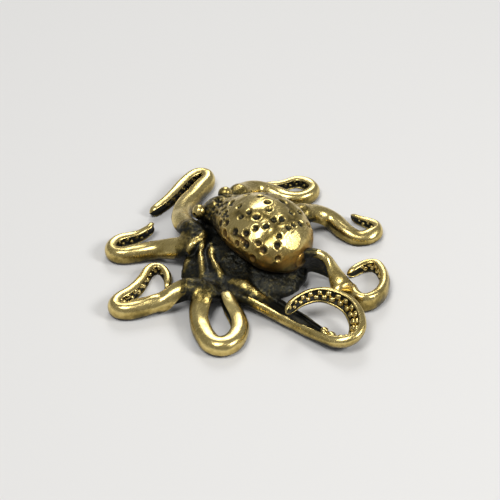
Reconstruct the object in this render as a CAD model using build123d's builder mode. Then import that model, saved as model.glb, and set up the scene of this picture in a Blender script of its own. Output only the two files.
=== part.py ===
from build123d import *
from math import cos, pi, radians, sin
import os

# A small cast brass octopus that stands on its curled arms.
# The frame has +Z up from the table, the eyes towards +Y and the mantle's tip towards -Y.
# Places on the animal are measured from the middle of its crown, where the arms meet.
# Every skin is made of flat facets between one ring of points and the next.
crown_x = 1.34
crown_y = 3.17

# Mantle: a dimpled egg that tapers to the neck and lies back over the web.
mantle_length = 23.0
mantle_width = 18.4
mantle_height = 12.3
mantle_belly = 3.8
mantle_drift = 1.4
neck_x = 2.7
neck_y = 9.0
seat_height = 4.2
body_sides = 24
# along, half width, underside and top of each ring of the mantle
mantle_ring_shares = [
    (0.00, 0.275, 0.08, 0.60),
    (0.11, 0.330, 0.08, 0.72),
    (0.24, 0.410, 0.06, 0.86),
    (0.39, 0.475, 0.03, 0.97),
    (0.54, 0.500, 0.00, 1.00),
    (0.70, 0.480, -0.03, 0.94),
    (0.85, 0.400, -0.02, 0.81),
    (0.95, 0.270, 0.03, 0.63),
    (1.00, 0.100, 0.15, 0.42),
]
# Dimples: how far along the mantle each one lies, and its angle round the ring from the right
pit_width = 1.5
pit_floor = 0.7
pit_depth = 0.38
pit_corners = 6
pit_shares = [
    (0.17, 116), (0.20, 150), (0.23, 168), (0.24, 72), (0.32, 122), (0.32, 158), (0.35, 173),
    (0.39, 72), (0.43, 138), (0.47, 123), (0.47, 161), (0.52, 81), (0.54, 173), (0.57, 124),
    (0.58, 49), (0.59, 154), (0.60, 92), (0.64, 142), (0.64, 168), (0.70, 105), (0.70, 129),
    (0.73, 52), (0.73, 160), (0.74, 85), (0.73, 184), (0.80, 168), (0.84, 92), (0.84, 130),
    (0.85, 40), (0.88, 154), (0.92, 181), (0.22, 46), (0.34, 44), (0.36, 18), (0.47, 30),
    (0.50, 4), (0.62, 22), (0.64, -2), (0.74, 30), (0.78, 8), (0.86, 16), (0.84, 66),
]

# Head: it carries on from the mantle's first ring and stops in a blunt brow.
head_length = 5.4
head_width = 9.4
head_height = 7.4
# along, half width, underside and top of the rings past the neck
head_ring_shares = [
    (0.30, 0.520, 0.00, 0.86),
    (0.58, 0.480, 0.00, 0.76),
    (0.85, 0.360, 0.02, 0.62),
    (1.00, 0.170, 0.12, 0.42),
]

# Eyes: two beads on the sides of the head, each with a small drilled pupil. The left one
# stays clear of the first arm's root.
eye_radius = 1.6
eye_along = 3.75
eye_skew = 0.3
eye_spread = 8.6
eye_clearance = 0.3
eye_sides = 12
# angles from the gaze to each ring of a bead
eye_ring_angles = [160, 135, 110, 85, 60, 35]
pupil_radius = 0.28
pupil_depth = 0.4

# Web: a low skirt that climbs from the arms to the neck, hollow underneath, with folds
# on its left shoulder.
web_span = 20.0
web_rim = 1.6
web_edge = 2.0
web_rise = 4.2
web_skin = 1.3
shoulder_run = 6.0
shoulder_inset = 0.6
# size of the shoulder's slices from the arm inwards, and how far in each one lies
shoulder_shares = [(1.00, 0.00), (0.96, 0.35), (0.78, 0.70), (0.40, 1.00)]
# half the width of an arm's foot on the rim
foot_share = 0.40
# height over the rim and spread of each level of the skirt
skirt_shares = [(0.00, 1.00), (0.60, 0.90), (1.00, 0.52)]
# height and spread of each level of the hollow underneath
hollow_shares = [(0.0, 0.72), (0.5, 0.70), (1.0, 0.52)]
# how far the rim draws in between one arm and the next, in shares of the chord from arm to arm,
# and how far along the chord that pull lies
bay_shares = [(0.14, 0.50), (-0.20, 0.55), (0.12, 0.50), (0.30, 0.45), (-0.33, 0.38), (0.17, 0.50),
              (0.12, 0.50), (0.04, 0.50)]
bay_steps = 4
# Collar: the web's slope up to the head. Height over the rim, width and length of each level
collar_width = 17.0
collar_length = 13.0
collar_back = 1.6
collar_shares = [(0.00, 1.00, 1.00), (0.35, 0.94, 0.96), (0.70, 0.76, 0.84), (1.25, 0.56, 0.68)]
fold_width = 1.2
fold_root = 1.6
# start, middle and end of each fold in shares of the span, with the height of its crest there
# in shares of the web's rise over its rim
fold_shares = [
    [(-0.30, 0.34, 1.06), (-0.49, 0.37, 0.82), (-0.68, 0.22, 0.62)],
    [(-0.38, 0.26, 1.00), (-0.52, 0.16, 0.86), (-0.72, 0.02, 0.62)],
    [(-0.36, 0.12, 1.00), (-0.52, -0.02, 0.82), (-0.66, -0.16, 0.62)],
]

# Arms: they taper from the web, settle on the table and curl back on themselves.
arm_breadth = 4.2
arm_depth = 4.2
arm_lift = 3.4
tip_breadth = 1.7
tip_depth = 1.2
table_bite = 0.18
station_count = 27
line_samples = 120
full_turn = 360
arm_1_reach = 21.0
arm_2_reach = 15.0
arm_3_reach = 13.0
arm_4_reach = 13.0
arm_5_reach = 24.0
arm_6_reach = 16.0
arm_7_reach = 14.0
arm_8_reach = 17.0

# Suckers: small studs in two rows along the channel under each arm.
sucker_pitch = 2.0
sucker_radius = 0.56
sucker_height = 0.75
sucker_seat = 0.15
sucker_taper = 12
sucker_corners = 6
# how far each row lies from the middle of the channel
sucker_row_share = 0.13

# One slice of an arm, from the mouth side at -0.5 to the back at 0.5, and from the
# underside at -0.5 to the top at 0.5 once the arm lies in its curl.
slice_shares = [
    (-0.50, -0.42),
    (-0.30, -0.28),
    (-0.30, 0.28),
    (-0.50, 0.42),
    (0.08, 0.50),
    (0.40, 0.34),
    (0.50, -0.02),
    (0.36, -0.36),
    (-0.06, -0.50),
]

# root: where the arm leaves the web; route: its line from the root, in shares of its reach
# lift: height of root and tip over their rest; settle, rise: where it lands and takes off
# roll: turn of the mouth side about the line at root and tip, 0 down, 90 to the left
# twist: where the roll starts and stops; full: how late the arm thins
# stout, tip: breadth and depth of the arm and of its tip; flare: how much the root widens
# studs: the stretch that carries suckers
arm_shares = {
    "arm_1": {
        "root": (-0.255, 0.585),
        "route": [(0.05, 0.12), (0.18, 0.31), (0.37, 0.46), (0.60, 0.54), (0.81, 0.60), (0.96, 0.65),
                  (1.00, 0.77), (0.87, 0.83), (0.70, 0.81), (0.50, 0.76), (0.30, 0.73), (0.12, 0.73)],
        "lift": (1.00, 0.00), "settle": 0.45, "rise": 0.90,
        "roll": (40, 90), "twist": (0.00, 0.25),
        "full": 1.00, "stout": (1.00, 1.02), "tip": (1.60, 1.75), "flare": 0.15,
        "studs": (0.30, 0.92),
    },
    "arm_2": {
        "root": (-0.44, 0.47),
        "route": [(-0.12, 0.19), (-0.21, 0.37), (-0.36, 0.52), (-0.52, 0.63), (-0.65, 0.75), (-0.66, 0.91),
                  (-0.53, 1.01), (-0.35, 1.01), (-0.18, 0.93), (-0.03, 0.85), (0.11, 0.83), (0.14, 0.90)],
        "lift": (0.65, 0.45), "settle": 0.35, "rise": 0.84,
        "roll": (-20, -90), "twist": (0.00, 0.35),
        "full": 0.95, "stout": (0.98, 1.05), "tip": (1.40, 1.45), "flare": 0.20,
        "studs": (0.42, 0.92),
    },
    "arm_3": {
        "root": (-0.945, -0.005),
        "route": [(-0.08, 0.08), (-0.28, 0.17), (-0.52, 0.26), (-0.73, 0.37), (-0.92, 0.49), (-0.99, 0.67),
                  (-0.84, 0.79), (-0.62, 0.78), (-0.32, 0.82), (-0.04, 0.93), (0.19, 0.99), (0.29, 0.92),
                  (0.27, 0.76), (0.17, 0.59), (-0.02, 0.48)],
        "lift": (0.53, 0.00), "settle": 0.25, "rise": 0.90,
        "roll": (60, -90), "twist": (0.05, 0.26),
        "full": 0.90, "stout": (0.90, 0.98), "tip": (1.20, 1.30), "flare": 0.10,
        "studs": (0.42, 0.94),
    },
    "arm_4": {
        "root": (-0.93, -0.195),
        "route": [(-0.10, -0.05), (-0.28, -0.19), (-0.45, -0.40), (-0.58, -0.65), (-0.60, -0.88),
                  (-0.46, -1.00), (-0.23, -0.98), (0.00, -0.84), (0.14, -0.66), (0.22, -0.47), (0.31, -0.30),
                  (0.43, -0.17)],
        "lift": (0.47, 0.45), "settle": 0.25, "rise": 0.76,
        "roll": (60, 90), "twist": (0.00, 0.20),
        "full": 2.60, "stout": (0.90, 0.94), "tip": (1.75, 2.70), "flare": 0.05,
        "studs": (0.30, 0.80),
    },
    "arm_5": {
        "root": (-0.51, -0.53),
        "route": [(0.03, -0.14), (0.04, -0.29), (0.05, -0.46), (0.05, -0.64), (0.05, -0.81), (0.07, -0.95),
                  (0.14, -1.02), (0.25, -0.99), (0.34, -0.89), (0.39, -0.76), (0.37, -0.63), (0.31, -0.52),
                  (0.20, -0.46), (0.06, -0.44), (-0.09, -0.47)],
        "lift": (0.35, 1.40), "settle": 0.30, "rise": 0.42,
        "roll": (150, 125), "twist": (0.20, 0.60),
        "full": 1.20, "stout": (1.20, 0.74), "tip": (1.30, 1.40), "flare": 0.30,
        "studs": (0.34, 0.98),
    },
    "arm_6": {
        "root": (0.225, -0.685),
        "route": [(0.09, -0.11), (0.12, -0.28), (0.09, -0.47), (0.01, -0.64), (-0.06, -0.82), (-0.04, -0.96),
                  (0.12, -1.02), (0.33, -0.99), (0.53, -0.87), (0.69, -0.69), (0.74, -0.52), (0.62, -0.42),
                  (0.47, -0.39), (0.35, -0.37)],
        "lift": (0.65, 0.06), "settle": 0.35, "rise": 0.80,
        "roll": (-70, 90), "twist": (0.12, 0.38),
        "full": 1.40, "stout": (1.16, 0.62), "tip": (1.25, 1.35), "flare": 0.22,
        "studs": (0.32, 0.92),
    },
    "arm_7": {
        "root": (0.805, -0.09),
        "route": [(0.19, -0.04), (0.34, -0.15), (0.40, -0.30), (0.36, -0.49), (0.35, -0.69), (0.40, -0.87),
                  (0.53, -0.96), (0.71, -0.97), (0.81, -0.85), (0.79, -0.68), (0.76, -0.51), (0.79, -0.35)],
        "lift": (0.88, 0.12), "settle": 0.42, "rise": 0.75,
        "roll": (-20, 90), "twist": (0.40, 0.80),
        "full": 1.10, "stout": (1.08, 1.02), "tip": (0.95, 1.10), "flare": 0.15,
        "studs": (0.42, 0.92),
    },
    "arm_8": {
        "root": (0.625, 0.67),
        "route": [(0.14, 0.02), (0.34, 0.01), (0.44, -0.10), (0.49, -0.25), (0.55, -0.42), (0.68, -0.51),
                  (0.86, -0.53), (0.98, -0.43), (0.99, -0.28), (0.93, -0.15), (0.78, -0.09), (0.65, 0.02),
                  (0.56, 0.15)],
        "lift": (0.94, 0.00), "settle": 0.35, "rise": 0.90,
        "roll": (20, 90), "twist": (0.00, 0.35),
        "full": 1.00, "stout": (0.94, 1.00), "tip": (1.20, 1.30), "flare": 0.10,
        "studs": (0.38, 0.92),
    },
}
arm_reaches = [arm_1_reach, arm_2_reach, arm_3_reach, arm_4_reach,
               arm_5_reach, arm_6_reach, arm_7_reach, arm_8_reach]

os.makedirs("parts", exist_ok=True)


def crown_point(x, y, height):
    """Place in the part's frame from one measured from the crown."""
    return Vector(crown_x + x, crown_y + y, height)


def web_point(shares, height=0):
    return crown_point(shares[0] * web_span, shares[1] * web_span, height)


def facet_skin(rings):
    """Solid through rings of points, with flat ends and two flat triangles between each four points."""
    faces = [Face(Wire.make_polygon(rings[0])), Face(Wire.make_polygon(rings[-1]))]
    for here, there in zip(rings, rings[1:]):
        for k in range(len(here)):
            a, b, c, d = here[k - 1], here[k], there[k], there[k - 1]
            if (a - c).length < (b - d).length:
                triangles = [(a, b, c), (a, c, d)]
            else:
                triangles = [(a, b, d), (b, c, d)]
            faces += [Face(Wire.make_polygon(corners)) for corners in triangles]
    return Solid(Shell(faces))


def polygon_ring(radius, height):
    """Corners of a dimple at one height."""
    angles = [2 * pi * k / pit_corners for k in range(pit_corners)]
    return [Vector(radius * cos(a), radius * sin(a), height) for a in angles]


def body_ring(centre, half_width, half_height):
    """Upright ellipse of points across the body, from its right over its top."""
    angles = [2 * pi * k / body_sides for k in range(body_sides)]
    return [centre + Vector(half_width * cos(a), 0, half_height * sin(a)) for a in angles]


def mantle_ring(along, half_width, low, high):
    centre = crown_point(neck_x - mantle_drift * along, neck_y - mantle_length * along,
                         mantle_belly + mantle_height * (low + high) / 2)
    return body_ring(centre, half_width * mantle_width, (high - low) * mantle_height / 2)


def head_ring(along, half_width, low, high):
    centre = crown_point(neck_x, neck_y + head_length * along, seat_height + head_height * (low + high) / 2)
    return body_ring(centre, half_width * head_width, (high - low) * head_height / 2)


def ease(t, start, stop):
    s = min(max((t - start) / (stop - start), 0), 1)
    return s * s * (3 - 2 * s)


def slice_points(arm, t):
    """Slice of an arm at the share t of its line, across the line: mouth to back, underside to top."""
    top_side = -1 if arm["roll"][1] > 0 else 1
    last_depth = tip_depth * arm["tip"][1]
    last_breadth = tip_breadth * arm["tip"][0]
    depth = last_depth + (arm_depth * arm["stout"][1] - last_depth) * (1 - t ** arm["full"])
    breadth = last_breadth + (arm_breadth * arm["stout"][0] - last_breadth) * (1 - t ** (arm["full"] + 1))
    breadth *= 1 + arm["flare"] * (1 - ease(t, 0, arm["settle"]))
    return [(x * depth, top_side * y * breadth) for x, y in slice_shares]


def slice_plane(arm, route, t):
    """Upright plane across an arm's line, its X towards the back of the arm."""
    place = route.position_at(t)
    along = route.tangent_at(t)
    right = along.cross(Vector(0, 0, 1))
    roll = radians(arm["roll"][0] + (arm["roll"][1] - arm["roll"][0]) * ease(t, *arm["twist"]))
    back = Vector(0, 0, cos(roll)) + right * sin(roll)
    lowest = min(x * cos(roll) - y * sin(roll) for x, y in slice_points(arm, t))
    landed = min(t / arm["settle"], 1)
    risen = max((t - arm["rise"]) / (1 - arm["rise"]), 0)
    lift = arm_lift * (arm["lift"][0] * (1 - landed) ** 2 + arm["lift"][1] * sin(risen * pi / 2))
    height = lift - lowest - table_bite
    return Plane(origin=(place.X, place.Y, height), x_dir=back, z_dir=along)


def slice_ring(arm, plane, t, size=1):
    return [plane.from_local_coords(Vector(x * size, y * size, 0)) for x, y in slice_points(arm, t)]


def station_shares(route):
    """Shares of a line, evenly spread over its length and its turning together."""
    samples = [i / line_samples for i in range(line_samples + 1)]
    tangents = [route.tangent_at(t) for t in samples]
    effort = [0]
    for here, there in zip(tangents, tangents[1:]):
        effort.append(effort[-1] + 1 / line_samples + here.get_angle(there) / full_turn)
    shares = []
    for i in range(station_count + 1):
        goal = effort[-1] * i / station_count
        shares.append(min(zip(effort, samples), key=lambda pair: abs(pair[0] - goal))[1])
    return shares


routes = {}
for (name, arm), reach in zip(arm_shares.items(), arm_reaches):
    start = web_point(arm["root"])
    points = [start] + [start + Vector(x * reach, y * reach, 0) for x, y in arm["route"]]
    routes[name] = Spline(*points)

# Mantle
pit = facet_skin([polygon_ring(pit_width / 2, 0), polygon_ring(pit_floor / 2, -pit_depth)])
with BuildPart() as mantle:
    add(facet_skin([mantle_ring(*ring) for ring in mantle_ring_shares]))
    split(bisect_by=Plane.XY.offset(seat_height), keep=Keep.TOP)
    pits = []
    for along, angle in pit_shares:
        core = crown_point(neck_x - mantle_drift * along, neck_y - mantle_length * along,
                           mantle_belly + mantle_height / 2)
        spoke = Axis(core, Vector(cos(radians(angle)), 0, sin(radians(angle))))
        hits = mantle.part.find_intersection_points(spoke)
        skin, normal = max(hits, key=lambda hit: (hit[0] - core).dot(spoke.direction))
        pits.append(Plane(origin=skin, z_dir=normal))
    with Locations(*pits):
        add(pit, mode=Mode.SUBTRACT)
mantle.part.label = "mantle"
export_step(mantle.part, "parts/mantle.step")

# Head
with BuildPart() as head:
    add(facet_skin([mantle_ring(*mantle_ring_shares[0])] + [head_ring(*ring) for ring in head_ring_shares]))
    split(bisect_by=Plane.XY.offset(seat_height), keep=Keep.TOP)
head.part.label = "head"
export_step(head.part, "parts/head.step")

# Eyes
first_arm = arm_shares["arm_1"]
left_eye = crown_point(neck_x - eye_spread / 2, neck_y + eye_along - eye_skew / 2, 0)
planes = [slice_plane(first_arm, routes["arm_1"], i / line_samples) for i in range(line_samples)]
beside = min(planes, key=lambda plane: (plane.origin - left_eye).cross(Vector(0, 0, 1)).length)
aside = (beside.origin - left_eye).cross(Vector(0, 0, 1)).length
stand_off = arm_depth * first_arm["stout"][1] / 2 + eye_clearance + eye_radius
eye_height = beside.origin.Z + max(stand_off ** 2 - aside ** 2, 0) ** 0.5
turns = [2 * pi * k / eye_sides for k in range(eye_sides)]
for side, name in ((-1, "eye_left"), (1, "eye_right")):
    centre = crown_point(neck_x + side * eye_spread / 2, neck_y + eye_along + side * eye_skew / 2, eye_height)
    profile = [(eye_radius * cos(radians(a)), eye_radius * sin(radians(a))) for a in eye_ring_angles]
    brim = (eye_radius ** 2 - pupil_radius ** 2) ** 0.5
    profile += [(brim, pupil_radius), (brim - pupil_depth, pupil_radius)]
    rings = [[centre + Vector(side * ahead, radius * cos(a), radius * sin(a)) for a in turns]
             for ahead, radius in profile]
    with BuildPart() as eye:
        add(facet_skin(rings))
        add(head.part, mode=Mode.SUBTRACT)
    eye.part.label = name
    export_step(eye.part, f"parts/{name}.step")

# Arms
arms = {}
for name, arm in arm_shares.items():
    with BuildPart() as limb:
        planes = [(t, slice_plane(arm, routes[name], t)) for t in station_shares(routes[name])]
        add(facet_skin([slice_ring(arm, plane, t) for t, plane in planes]))
        split(bisect_by=Plane.XY, keep=Keep.TOP)
    arms[name] = limb.part
    limb.part.label = name
    export_step(limb.part, f"parts/{name}.step")

# Suckers
with BuildPart() as stud:
    with BuildSketch():
        RegularPolygon(sucker_radius, sucker_corners)
    extrude(amount=sucker_height, taper=sucker_taper)
for name, arm in arm_shares.items():
    first, last = arm["studs"]
    count = int(routes[name].length * (last - first) / sucker_pitch)
    with BuildPart() as suckers:
        for row in (-1, 1):
            for i in range(count):
                t = first + (last - first) * (i + 0.5 + row * 0.25) / count
                plane = slice_plane(arm, routes[name], t)
                points = slice_points(arm, t)
                floor = points[1][0]
                breadth = abs(points[4][1] - points[8][1])
                aside = row * sucker_row_share * breadth
                foot = plane.origin + plane.x_dir * (floor - sucker_seat) + plane.y_dir * aside
                size = breadth / arm_breadth
                with Locations(Plane(origin=foot, x_dir=plane.z_dir, z_dir=-plane.x_dir)):
                    add(scale(stud.part, by=size, mode=Mode.PRIVATE))
        split(bisect_by=Plane.XY, keep=Keep.TOP)
        add(arms[name], mode=Mode.SUBTRACT)
    label = name.replace("arm", "suckers")
    suckers.part.label = label
    export_step(suckers.part, f"parts/{label}.step")

# Web
roots = {name: slice_plane(arm, routes[name], 0) for name, arm in arm_shares.items()}
feet = []
for root in roots.values():
    across = Vector(0, 0, 1).cross(root.z_dir) * (arm_breadth * foot_share)
    middle = root.origin - root.z_dir * shoulder_inset
    feet.append([Vector(place.X, place.Y, 0) for place in (middle - across, middle + across)])

# outline of the rim in plan: each arm's foot, then the bay to the next arm
rim = []
for i, (right, left) in enumerate(feet):
    following = feet[(i + 1) % len(feet)][0]
    chord = following - left
    inwards, along = bay_shares[i]
    pull = left + chord * along + Vector(-chord.Y, chord.X, 0) * (2 * inwards)
    rim.append(right)
    for step in range(bay_steps):
        u = step / bay_steps
        rim.append(left * (1 - u) ** 2 + pull * (2 * u * (1 - u)) + following * u ** 2)


def rim_ring(spread, height):
    """The rim's outline drawn in towards the crown and raised."""
    middle = crown_point(0, 0, 0)
    return [middle + (place - middle) * spread + Vector(0, 0, height) for place in rim]


def collar_ring(up, wide, long):
    centre = crown_point(neck_x, neck_y - collar_back, web_rim + up * web_rise)
    angles = [2 * pi * k / body_sides for k in range(body_sides)]
    return [centre + Vector(collar_width / 2 * wide * cos(a), collar_length / 2 * long * sin(a), 0)
            for a in angles]


with BuildPart() as web:
    add(facet_skin([rim_ring(spread, web_rim + up * web_rise) for up, spread in skirt_shares]))
    for name, arm in arm_shares.items():
        root = roots[name]
        sink = Vector(0, 0, web_rim + web_edge / 2 - root.origin.Z)
        rings = []
        for size, inwards in shoulder_shares:
            place = root.origin - root.z_dir * (shoulder_run * inwards) + sink * inwards ** 2
            rings.append(slice_ring(arm, Plane(origin=place, x_dir=root.x_dir, z_dir=root.z_dir), 0, size))
        add(facet_skin(rings))
    add(facet_skin([collar_ring(*level) for level in collar_shares]))
    for fold in fold_shares:
        crest = [web_point((x, y), web_rim + up * web_rise) for x, y, up in fold]
        heading = crest[-1] - crest[0]
        aside = Vector(0, 0, 1).cross(Vector(heading.X, heading.Y, 0).normalized()) * (fold_width / 2)
        down = Vector(0, 0, -fold_root)
        add(facet_skin([[place, place + down + aside, place + down - aside] for place in crest]))
    hollow = facet_skin([rim_ring(spread, up * (seat_height - web_skin)) for up, spread in hollow_shares])
    add(hollow, mode=Mode.SUBTRACT)
    for piece in (mantle.part, head.part, *arms.values()):
        add(piece, mode=Mode.SUBTRACT)
web.part.label = "web"
export_step(web.part, "parts/web.step")
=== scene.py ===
import math
import random

import bmesh
import bpy
import numpy as np
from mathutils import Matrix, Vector, noise
from mathutils.bvhtree import BVHTree


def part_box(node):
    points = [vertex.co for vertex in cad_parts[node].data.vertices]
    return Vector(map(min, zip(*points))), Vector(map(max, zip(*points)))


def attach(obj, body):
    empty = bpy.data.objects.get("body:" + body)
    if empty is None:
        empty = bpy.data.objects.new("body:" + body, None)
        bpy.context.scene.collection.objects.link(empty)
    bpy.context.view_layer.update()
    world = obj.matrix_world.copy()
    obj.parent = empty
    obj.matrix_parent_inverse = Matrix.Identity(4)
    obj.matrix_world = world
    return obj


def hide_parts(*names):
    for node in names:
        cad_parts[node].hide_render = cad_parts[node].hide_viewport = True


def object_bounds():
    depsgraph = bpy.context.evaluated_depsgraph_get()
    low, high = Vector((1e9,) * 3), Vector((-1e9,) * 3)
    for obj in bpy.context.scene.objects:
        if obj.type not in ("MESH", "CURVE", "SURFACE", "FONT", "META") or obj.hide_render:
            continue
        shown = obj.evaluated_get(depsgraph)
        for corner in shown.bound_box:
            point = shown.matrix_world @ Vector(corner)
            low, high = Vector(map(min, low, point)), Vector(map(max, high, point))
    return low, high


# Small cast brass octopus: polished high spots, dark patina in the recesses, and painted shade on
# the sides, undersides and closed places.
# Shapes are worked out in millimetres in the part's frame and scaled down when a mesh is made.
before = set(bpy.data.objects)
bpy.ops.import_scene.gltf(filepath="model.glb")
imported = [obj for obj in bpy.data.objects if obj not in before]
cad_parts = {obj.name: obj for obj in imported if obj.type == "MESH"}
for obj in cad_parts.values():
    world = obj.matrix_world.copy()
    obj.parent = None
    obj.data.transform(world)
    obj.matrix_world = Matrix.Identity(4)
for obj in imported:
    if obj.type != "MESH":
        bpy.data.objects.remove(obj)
cadBox = [list(corner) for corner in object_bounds()]
print("frame loaded,", len(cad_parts), "nodes")

scene = bpy.context.scene
mm = 0.001
crown = np.array([1.34, 3.17])        # where the arms meet, seen from above
webSpan = 20.0                        # width of the web, the unit for places on it
pieces = {}                           # every finished piece, by name
square = [(-1, -1, 0), (1, -1, 0), (1, 1, 0), (-1, 1, 0)]


def ease(value, start, stop):
    # 0 up to the start, 1 from the stop on, a smooth step between them
    s = np.clip((np.asarray(value, float) - start) / (stop - start), 0, 1)
    return s * s * (3 - 2 * s)


def onWeb(x, y):
    # a place on the web, given in shares of its width
    return crown + np.array((x, y)) * webSpan


def turned(degrees):
    return math.cos(math.radians(degrees)), math.sin(math.radians(degrees))


def circle(count):
    # cosines and sines of evenly spaced angles
    angles = np.radians(np.arange(count) * 360 / count)
    return np.cos(angles), np.sin(angles)


def levelRing(x, y, z):
    return np.column_stack([x, y, np.full(len(x), z)])


def smoothLine(points, count, finer=4):
    # cubic line through the points, divided evenly by its length
    pts = np.array(points, float)
    knots = np.concatenate([[0], np.cumsum(np.linalg.norm(np.diff(pts, axis=0), axis=1))])
    gaps = np.diff(knots)
    size = len(pts)
    matrix, wanted = np.zeros((size, size)), np.zeros(pts.shape)
    matrix[0, :2], matrix[-1, -2:] = (1, -1), (-1, 1)
    for i in range(1, size - 1):
        matrix[i, i - 1:i + 2] = gaps[i - 1], 2 * (gaps[i - 1] + gaps[i]), gaps[i]
        wanted[i] = 6 * ((pts[i + 1] - pts[i]) / gaps[i] - (pts[i] - pts[i - 1]) / gaps[i - 1])
    bend = np.linalg.solve(matrix, wanted)
    u = np.linspace(0, knots[-1], count * finer)
    k = np.clip(np.searchsorted(knots, u, side="right") - 1, 0, size - 2)
    a, b, g = (knots[k + 1] - u)[:, None], (u - knots[k])[:, None], gaps[k][:, None]
    line = (bend[k] * a ** 3 + bend[k + 1] * b ** 3) / (6 * g)
    line += (pts[k] / g - bend[k] * g / 6) * a + (pts[k + 1] / g - bend[k + 1] * g / 6) * b
    run = np.concatenate([[0], np.cumsum(np.linalg.norm(np.diff(line, axis=0), axis=1))])
    even = np.linspace(0, run[-1], count)
    return np.column_stack([np.interp(even, run, line[:, i]) for i in range(line.shape[1])])


def closedCurve(corners, steps):
    # rounded closed outline through the corners
    pts = np.array(corners, float)
    before, after, later = np.roll(pts, 1, 0), np.roll(pts, -1, 0), np.roll(pts, -2, 0)
    slope = after - before
    bend = 2 * before - 5 * pts + 4 * after - later
    twist = 3 * pts - before - 3 * after + later
    out = [0.5 * (2 * pts + slope * u + bend * u ** 2 + twist * u ** 3)
           for u in np.arange(steps) / steps]
    return np.stack(out, 1).reshape(-1, pts.shape[1])


def skinMesh(name, rings):
    # closed skin over rings of points, with a point at the middle of both ends
    rings = np.asarray(rings)
    count, around = rings.shape[:2]
    verts = np.vstack([rings.reshape(-1, 3), rings[0].mean(0), rings[-1].mean(0)])
    last, end = (count - 1) * around, count * around
    sides = [(k, (k + 1) % around) for k in range(around)]
    faces = [(a + k, a + n, a + around + n, a + around + k)
             for a in range(0, last, around) for k, n in sides]
    for k, n in sides:
        faces += [(end, n, k), (end + 1, last + k, last + n)]
    mesh = bpy.data.meshes.new(name)
    mesh.from_pydata((verts * mm).tolist(), [], faces)
    bm = bmesh.new()
    bm.from_mesh(mesh)
    bmesh.ops.recalc_face_normals(bm, faces=bm.faces)
    bm.to_mesh(mesh)
    bm.free()
    return mesh


def meshFrom(bm, name):
    mesh = bpy.data.meshes.new(name)
    bm.to_mesh(mesh)
    bm.free()
    return mesh


def addObject(name, data):
    thing = bpy.data.objects.new(name, data)
    scene.collection.objects.link(thing)
    return thing


def addPiece(name, mesh, *nodes):
    # a piece that stands for one or more nodes of the frame
    piece = addObject(name, mesh)
    mesh.shade_smooth()
    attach(piece, "root")
    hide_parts(*nodes)
    pieces[name] = piece
    return piece


def readPoints(points, kind):
    out = np.zeros(len(points) * 3, np.float32)
    points.foreach_get(kind, out)
    return out.reshape(-1, 3).astype(float)


def places(mesh):
    return readPoints(mesh.vertices, "co") / mm


def normals(mesh):
    return readPoints(mesh.vertex_normals, "vector")


def setPlaces(mesh, co):
    mesh.vertices.foreach_set("co", (co * mm).astype(np.float32).ravel())
    mesh.update()


def setLayer(mesh, name, values):
    # one number for each point, read by the materials
    layer = mesh.attributes.get(name) or mesh.attributes.new(name, "FLOAT", "POINT")
    layer.data.foreach_set("value", np.asarray(values, np.float32))


def getLayer(mesh, name):
    values = np.zeros(len(mesh.vertices), np.float32)
    mesh.attributes[name].data.foreach_get("value", values)
    return values.astype(float)


def noiseAt(co, size, seed):
    # smooth noise from -1 to 1 with features of about the given size
    shift = Vector((seed * 7.3, seed * 3.1, seed * 5.7))
    return np.array([noise.noise(Vector(p) / size + shift) for p in co])


def castLumps(co, layers, seed):
    # unevenness of the cast: each layer is a size and a height
    return sum(height * noiseAt(co, size, seed + i) for i, (size, height) in enumerate(layers))


def roughen(mesh, layers, seed):
    # an uneven skin that doesn't sink into the table
    co = places(mesh)
    co += normals(mesh) * castLumps(co, layers, seed)[:, None]
    co[:, 2] = np.maximum(co[:, 2], 0)
    setPlaces(mesh, co)


# arms: sizes in millimetres
armStyle = {
    "breadth": 4.2, "depth": 4.2, "tipBreadth": 1.7, "tipDepth": 1.2,
    "lift": 3.4, "bite": 0.18,        # height that lifts are shares of; how far arms press down
    "points": 900, "step": 0.34,      # points of a line, distance from ring to ring
    "calm": 14,                       # passes that smooth the rings along the arm
    "uneven": [(3.2, 0.1), (1.1, 0.018)],
    "swell": 0.05, "swellPace": 7,    # slow change of thickness along an arm
    "tipRound": 0.75, "tipTurns": (20, 38, 54, 68, 80),
    "channelDark": 0.95, "patchDark": 0.3, "patchPace": 9,
    "rootDark": 0.9, "rootFade": (-1.5, 5), "endDark": [0.6, 0.2],
}

# one slice, mouth side at -0.5, back at 0.5; the hollow on the left is the sucker channel
sliceShape = closedCurve([
    (-0.44, -0.335), (-0.33, -0.27), (-0.285, -0.14), (-0.27, 0), (-0.285, 0.14), (-0.33, 0.27),
    (-0.44, 0.335), (-0.49, 0.375), (-0.43, 0.43), (-0.23, 0.485), (0, 0.503), (0.19, 0.465),
    (0.33, 0.375), (0.43, 0.24), (0.485, 0.08), (0.49, -0.08), (0.45, -0.24), (0.34, -0.375),
    (0.16, -0.465), (-0.06, -0.5), (-0.26, -0.475), (-0.44, -0.425), (-0.49, -0.37)], 2)
channel = {"lip": -0.49, "floor": -0.37, "mouth": -0.2, "halfWidth": 0.37}
sliceX, sliceY = sliceShape.T
inChannel = (np.abs(sliceY) < channel["halfWidth"]) & (sliceX < channel["mouth"])
channelDepth = np.where(inChannel, ease(sliceX, channel["lip"], channel["floor"]), 0)
# gutter: one low dark lip and a wider channel by the root
gutterStyle = {"fade": (0.3, 0.5), "low": 1.3, "lowSide": (0.15, 0.35), "lowMouth": (0.15, 0.4),
               "widen": 0.7, "dark": 0.75, "darkSide": (-0.05, 0.2), "darkFade": (0.22, 0.42)}
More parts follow.
